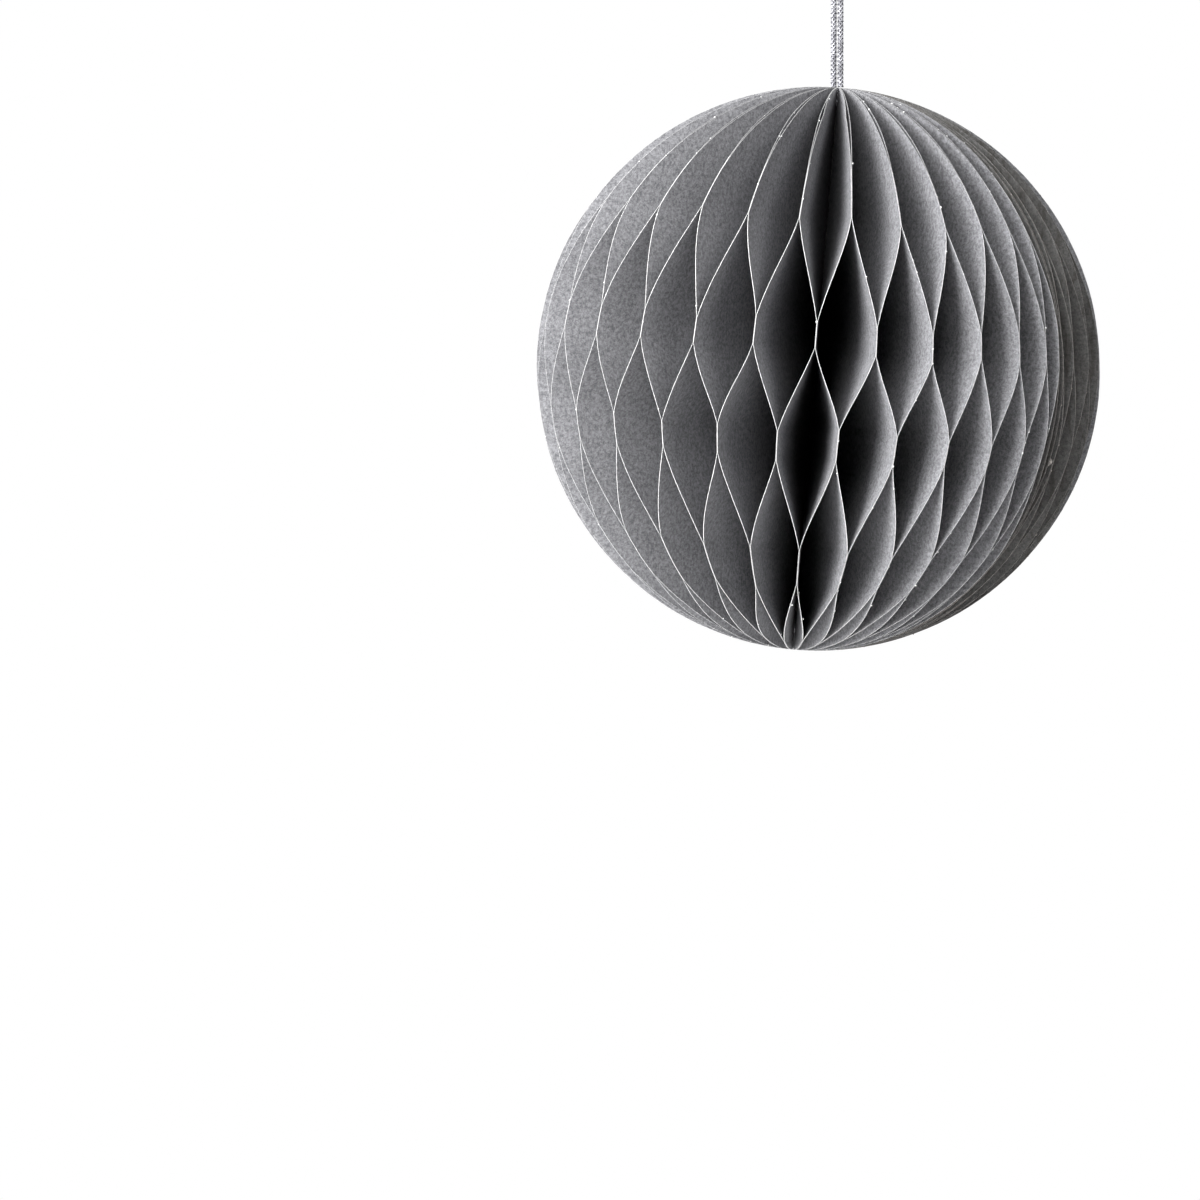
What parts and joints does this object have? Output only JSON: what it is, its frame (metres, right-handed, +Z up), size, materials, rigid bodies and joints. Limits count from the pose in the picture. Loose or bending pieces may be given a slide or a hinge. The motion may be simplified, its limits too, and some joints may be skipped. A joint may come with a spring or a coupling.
{
  "type": "paper honeycomb ball ornament",
  "caption": "Dark grey paper honeycomb ball: glued half-disc leaves fanned round a rolled spine, closed by two cover leaves, on a doubled metallic hanging cord.",
  "frame": {"origin": "inside top of the eye at the upper end of the hanging cord, where a hook carries the ball", "axes": "+Z up along the hanging cord, -Y towards the ball's front, +X to the right of the front view; the closing seam is right of the front"},
  "size_m": [0.1493, 0.1493, 0.1934],
  "materials": {
    "leaf_paper": "matte, fine fibre speckle, white cut edges",
    "cover_card": "matte",
    "magnet_coating": "satin black",
    "binding_strip": "matte",
    "metallic_cord": "twisted metallic thread"
  },
  "bodies": {
    "cord": {"cord_loop": "metallic_cord"},
    "core": {"spine_binding": "binding_strip", "cord_tail_left": "metallic_cord", "cord_tail_right": "metallic_cord", "cord_knot": "metallic_cord", "cover_first": "cover_card", "magnet_first": "magnet_coating"},
    "last_cover": {"cover_last": "cover_card", "magnet_last": "magnet_coating"},
    "pair_01": {"leaf_pair_01": "leaf_paper"},
    "pair_02": {"leaf_pair_02": "leaf_paper"},
    "pair_03": {"leaf_pair_03": "leaf_paper"},
    "pair_04": {"leaf_pair_04": "leaf_paper"},
    "pair_05": {"leaf_pair_05": "leaf_paper"},
    "pair_06": {"leaf_pair_06": "leaf_paper"},
    "pair_07": {"leaf_pair_07": "leaf_paper"},
    "pair_08": {"leaf_pair_08": "leaf_paper"},
    "pair_09": {"leaf_pair_09": "leaf_paper"},
    "pair_10": {"leaf_pair_10": "leaf_paper"},
    "pair_11": {"leaf_pair_11": "leaf_paper"},
    "pair_12": {"leaf_pair_12": "leaf_paper"},
    "pair_13": {"leaf_pair_13": "leaf_paper"},
    "pair_14": {"leaf_pair_14": "leaf_paper"},
    "pair_15": {"leaf_pair_15": "leaf_paper"},
    "pair_16": {"leaf_pair_16": "leaf_paper"},
    "pair_17": {"leaf_pair_17": "leaf_paper"},
    "pair_18": {"leaf_pair_18": "leaf_paper"},
    "pair_19": {"leaf_pair_19": "leaf_paper"},
    "pair_20": {"leaf_pair_20": "leaf_paper"},
    "pair_21": {"leaf_pair_21": "leaf_paper"},
    "pair_22": {"leaf_pair_22": "leaf_paper"},
    "pair_23": {"leaf_pair_23": "leaf_paper"},
    "pair_24": {"leaf_pair_24": "leaf_paper"},
    "pair_25": {"leaf_pair_25": "leaf_paper"},
    "pair_26": {"leaf_pair_26": "leaf_paper"},
    "pair_27": {"leaf_pair_27": "leaf_paper"},
    "pair_28": {"leaf_pair_28": "leaf_paper"},
    "pair_29": {"leaf_pair_29": "leaf_paper"},
    "pair_30": {"leaf_pair_30": "leaf_paper"},
    "pair_31": {"leaf_pair_31": "leaf_paper"}
  },
  "joints": [
    {"name": "spin", "type": "hinge", "parent": "cord", "child": "core", "pos_m": [0, 0, -0.042], "axis": [0, 0, 1], "continuous": true},
    {"name": "fold", "type": "hinge", "parent": "core", "child": "last_cover", "pos_m": [-0.00488, 0, -0.11677], "axis": [0.0785, 0, 0.9969], "range_deg": [-334, 0]},
    {"name": "fold_01", "type": "hinge", "parent": "core", "child": "pair_01", "pos_m": [-0.00488, 0, -0.11677], "axis": [0.0785, 0, 0.9969], "range_deg": [-2.52, 0], "deforming": ["leaf_pair_01"]},
    {"name": "fold_02", "type": "hinge", "parent": "core", "child": "pair_02", "pos_m": [-0.00488, 0, -0.11677], "axis": [0.0785, 0, 0.9969], "range_deg": [-8.87, 0], "deforming": ["leaf_pair_02"]},
    {"name": "fold_03", "type": "hinge", "parent": "core", "child": "pair_03", "pos_m": [-0.00488, 0, -0.11677], "axis": [0.0785, 0, 0.9969], "range_deg": [-17.42, 0], "deforming": ["leaf_pair_03"]},
    {"name": "fold_04", "type": "hinge", "parent": "core", "child": "pair_04", "pos_m": [-0.00488, 0, -0.11677], "axis": [0.0785, 0, 0.9969], "range_deg": [-27.28, 0], "deforming": ["leaf_pair_04"]},
    {"name": "fold_05", "type": "hinge", "parent": "core", "child": "pair_05", "pos_m": [-0.00488, 0, -0.11677], "axis": [0.0785, 0, 0.9969], "range_deg": [-37.95, 0], "deforming": ["leaf_pair_05"]},
    {"name": "fold_06", "type": "hinge", "parent": "core", "child": "pair_06", "pos_m": [-0.00488, 0, -0.11677], "axis": [0.0785, 0, 0.9969], "range_deg": [-49.1, 0], "deforming": ["leaf_pair_06"]},
    {"name": "fold_07", "type": "hinge", "parent": "core", "child": "pair_07", "pos_m": [-0.00488, 0, -0.11677], "axis": [0.0785, 0, 0.9969], "range_deg": [-60.56, 0], "deforming": ["leaf_pair_07"]},
    {"name": "fold_08", "type": "hinge", "parent": "core", "child": "pair_08", "pos_m": [-0.00488, 0, -0.11677], "axis": [0.0785, 0, 0.9969], "range_deg": [-72.19, 0], "deforming": ["leaf_pair_08"]},
    {"name": "fold_09", "type": "hinge", "parent": "core", "child": "pair_09", "pos_m": [-0.00488, 0, -0.11677], "axis": [0.0785, 0, 0.9969], "range_deg": [-83.92, 0], "deforming": ["leaf_pair_09"]},
    {"name": "fold_10", "type": "hinge", "parent": "core", "child": "pair_10", "pos_m": [-0.00488, 0, -0.11677], "axis": [0.0785, 0, 0.9969], "range_deg": [-95.73, 0], "deforming": ["leaf_pair_10"]},
    {"name": "fold_11", "type": "hinge", "parent": "core", "child": "pair_11", "pos_m": [-0.00488, 0, -0.11677], "axis": [0.0785, 0, 0.9969], "range_deg": [-107.57, 0], "deforming": ["leaf_pair_11"]},
    {"name": "fold_12", "type": "hinge", "parent": "core", "child": "pair_12", "pos_m": [-0.00488, 0, -0.11677], "axis": [0.0785, 0, 0.9969], "range_deg": [-119.44, 0], "deforming": ["leaf_pair_12"]},
    {"name": "fold_13", "type": "hinge", "parent": "core", "child": "pair_13", "pos_m": [-0.00488, 0, -0.11677], "axis": [0.0785, 0, 0.9969], "range_deg": [-131.32, 0], "deforming": ["leaf_pair_13"]},
    {"name": "fold_14", "type": "hinge", "parent": "core", "child": "pair_14", "pos_m": [-0.00488, 0, -0.11677], "axis": [0.0785, 0, 0.9969], "range_deg": [-143.22, 0], "deforming": ["leaf_pair_14"]},
    {"name": "fold_15", "type": "hinge", "parent": "core", "child": "pair_15", "pos_m": [-0.00488, 0, -0.11677], "axis": [0.0785, 0, 0.9969], "range_deg": [-155.11, 0], "deforming": ["leaf_pair_15"]},
    {"name": "fold_16", "type": "hinge", "parent": "core", "child": "pair_16", "pos_m": [-0.00488, 0, -0.11677], "axis": [0.0785, 0, 0.9969], "range_deg": [-167.01, 0], "deforming": ["leaf_pair_16"]},
    {"name": "fold_17", "type": "hinge", "parent": "core", "child": "pair_17", "pos_m": [-0.00488, 0, -0.11677], "axis": [0.0785, 0, 0.9969], "range_deg": [-178.92, 0], "deforming": ["leaf_pair_17"]},
    {"name": "fold_18", "type": "hinge", "parent": "core", "child": "pair_18", "pos_m": [-0.00488, 0, -0.11677], "axis": [0.0785, 0, 0.9969], "range_deg": [-190.81, 0], "deforming": ["leaf_pair_18"]},
    {"name": "fold_19", "type": "hinge", "parent": "core", "child": "pair_19", "pos_m": [-0.00488, 0, -0.11677], "axis": [0.0785, 0, 0.9969], "range_deg": [-202.71, 0], "deforming": ["leaf_pair_19"]},
    {"name": "fold_20", "type": "hinge", "parent": "core", "child": "pair_20", "pos_m": [-0.00488, 0, -0.11677], "axis": [0.0785, 0, 0.9969], "range_deg": [-214.59, 0], "deforming": ["leaf_pair_20"]},
    {"name": "fold_21", "type": "hinge", "parent": "core", "child": "pair_21", "pos_m": [-0.00488, 0, -0.11677], "axis": [0.0785, 0, 0.9969], "range_deg": [-226.46, 0], "deforming": ["leaf_pair_21"]},
    {"name": "fold_22", "type": "hinge", "parent": "core", "child": "pair_22", "pos_m": [-0.00488, 0, -0.11677], "axis": [0.0785, 0, 0.9969], "range_deg": [-238.3, 0], "deforming": ["leaf_pair_22"]},
    {"name": "fold_23", "type": "hinge", "parent": "core", "child": "pair_23", "pos_m": [-0.00488, 0, -0.11677], "axis": [0.0785, 0, 0.9969], "range_deg": [-250.11, 0], "deforming": ["leaf_pair_23"]},
    {"name": "fold_24", "type": "hinge", "parent": "core", "child": "pair_24", "pos_m": [-0.00488, 0, -0.11677], "axis": [0.0785, 0, 0.9969], "range_deg": [-261.84, 0], "deforming": ["leaf_pair_24"]},
    {"name": "fold_25", "type": "hinge", "parent": "core", "child": "pair_25", "pos_m": [-0.00488, 0, -0.11677], "axis": [0.0785, 0, 0.9969], "range_deg": [-273.47, 0], "deforming": ["leaf_pair_25"]},
    {"name": "fold_26", "type": "hinge", "parent": "core", "child": "pair_26", "pos_m": [-0.00488, 0, -0.11677], "axis": [0.0785, 0, 0.9969], "range_deg": [-284.93, 0], "deforming": ["leaf_pair_26"]},
    {"name": "fold_27", "type": "hinge", "parent": "core", "child": "pair_27", "pos_m": [-0.00488, 0, -0.11677], "axis": [0.0785, 0, 0.9969], "range_deg": [-296.08, 0], "deforming": ["leaf_pair_27"]},
    {"name": "fold_28", "type": "hinge", "parent": "core", "child": "pair_28", "pos_m": [-0.00488, 0, -0.11677], "axis": [0.0785, 0, 0.9969], "range_deg": [-306.75, 0], "deforming": ["leaf_pair_28"]},
    {"name": "fold_29", "type": "hinge", "parent": "core", "child": "pair_29", "pos_m": [-0.00488, 0, -0.11677], "axis": [0.0785, 0, 0.9969], "range_deg": [-316.61, 0], "deforming": ["leaf_pair_29"]},
    {"name": "fold_30", "type": "hinge", "parent": "core", "child": "pair_30", "pos_m": [-0.00488, 0, -0.11677], "axis": [0.0785, 0, 0.9969], "range_deg": [-325.16, 0], "deforming": ["leaf_pair_30"]},
    {"name": "fold_31", "type": "hinge", "parent": "core", "child": "pair_31", "pos_m": [-0.00488, 0, -0.11677], "axis": [0.0785, 0, 0.9969], "range_deg": [-331.51, 0], "deforming": ["leaf_pair_31"]}
  ],
  "couplings": [
    {"joint": "fold_01", "follows": "fold", "ratio": 0.007486},
    {"joint": "fold_02", "follows": "fold", "ratio": 0.026525},
    {"joint": "fold_03", "follows": "fold", "ratio": 0.052098},
    {"joint": "fold_04", "follows": "fold", "ratio": 0.081635},
    {"joint": "fold_05", "follows": "fold", "ratio": 0.11358},
    {"joint": "fold_06", "follows": "fold", "ratio": 0.14697},
    {"joint": "fold_07", "follows": "fold", "ratio": 0.18126},
    {"joint": "fold_08", "follows": "fold", "ratio": 0.21608},
    {"joint": "fold_09", "follows": "fold", "ratio": 0.25122},
    {"joint": "fold_10", "follows": "fold", "ratio": 0.28657},
    {"joint": "fold_11", "follows": "fold", "ratio": 0.32203},
    {"joint": "fold_12", "follows": "fold", "ratio": 0.35756},
    {"joint": "fold_13", "follows": "fold", "ratio": 0.39314},
    {"joint": "fold_14", "follows": "fold", "ratio": 0.42875},
    {"joint": "fold_15", "follows": "fold", "ratio": 0.46437},
    {"joint": "fold_16", "follows": "fold", "ratio": 0.5},
    {"joint": "fold_17", "follows": "fold", "ratio": 0.53563},
    {"joint": "fold_18", "follows": "fold", "ratio": 0.57125},
    {"joint": "fold_19", "follows": "fold", "ratio": 0.60686},
    {"joint": "fold_20", "follows": "fold", "ratio": 0.64244},
    {"joint": "fold_21", "follows": "fold", "ratio": 0.67797},
    {"joint": "fold_22", "follows": "fold", "ratio": 0.71343},
    {"joint": "fold_23", "follows": "fold", "ratio": 0.74878},
    {"joint": "fold_24", "follows": "fold", "ratio": 0.78392},
    {"joint": "fold_25", "follows": "fold", "ratio": 0.81874},
    {"joint": "fold_26", "follows": "fold", "ratio": 0.85303},
    {"joint": "fold_27", "follows": "fold", "ratio": 0.88642},
    {"joint": "fold_28", "follows": "fold", "ratio": 0.91836},
    {"joint": "fold_29", "follows": "fold", "ratio": 0.9479},
    {"joint": "fold_30", "follows": "fold", "ratio": 0.97347},
    {"joint": "fold_31", "follows": "fold", "ratio": 0.99251}
  ]
}
